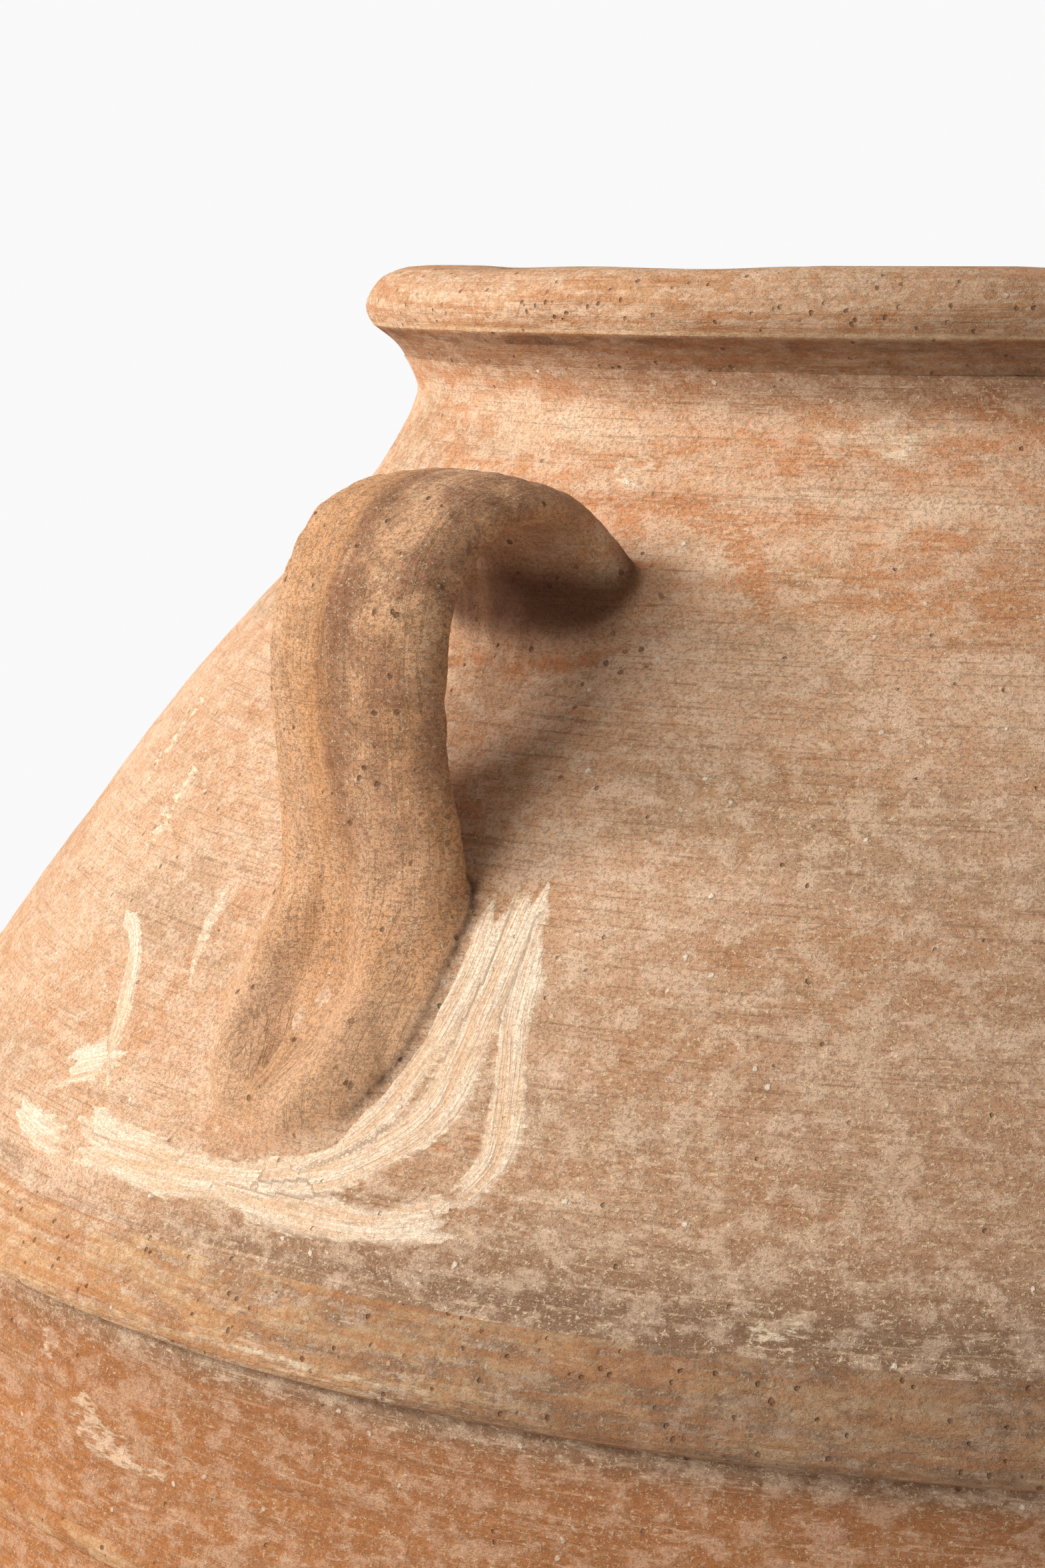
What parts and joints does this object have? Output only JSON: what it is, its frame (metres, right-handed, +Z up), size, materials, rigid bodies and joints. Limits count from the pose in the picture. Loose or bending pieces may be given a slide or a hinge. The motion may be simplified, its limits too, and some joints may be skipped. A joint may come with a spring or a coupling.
{
  "type": "olive jar",
  "caption": "Large wheel-thrown terracotta storage jar with a wide mouth, rolled rim, shoulder ridge and strap handles at the shoulder.",
  "frame": {"origin": "centre of the foot, on the ground", "axes": "+Z up along the jar's axis, the two handles on +X and -X"},
  "size_m": [0.6261, 0.6262, 0.76],
  "materials": {
    "fired_clay": "unglazed sandy terracotta, wiped smooth, matt",
    "pale_clay": "unglazed terracotta, worn pale on its high edges, matt",
    "belly_clay": "unglazed terracotta, browner and rough below the ridge, matt",
    "inner_clay": "unglazed terracotta, finger-smoothed inside, matt",
    "clay_slip": "thin cream slip with brush marks, matt"
  },
  "bodies": {
    "root": {"base_slab": "belly_clay", "lower_section": "belly_clay", "middle_section": "belly_clay", "belly_section": "belly_clay", "shoulder_section": "fired_clay", "neck_section": "fired_clay", "rim_roll": "pale_clay", "shoulder_ridge": "pale_clay", "belly_ring": "pale_clay", "base_seam_coil": "inner_clay", "low_seam_coil": "inner_clay", "mid_seam_coil": "inner_clay", "ridge_seam_coil": "inner_clay", "left_handle": "pale_clay", "right_handle": "pale_clay", "left_upper_wad": "fired_clay", "right_upper_wad": "fired_clay", "left_root_slip": "clay_slip", "right_root_slip": "clay_slip"}
  },
  "joints": []
}
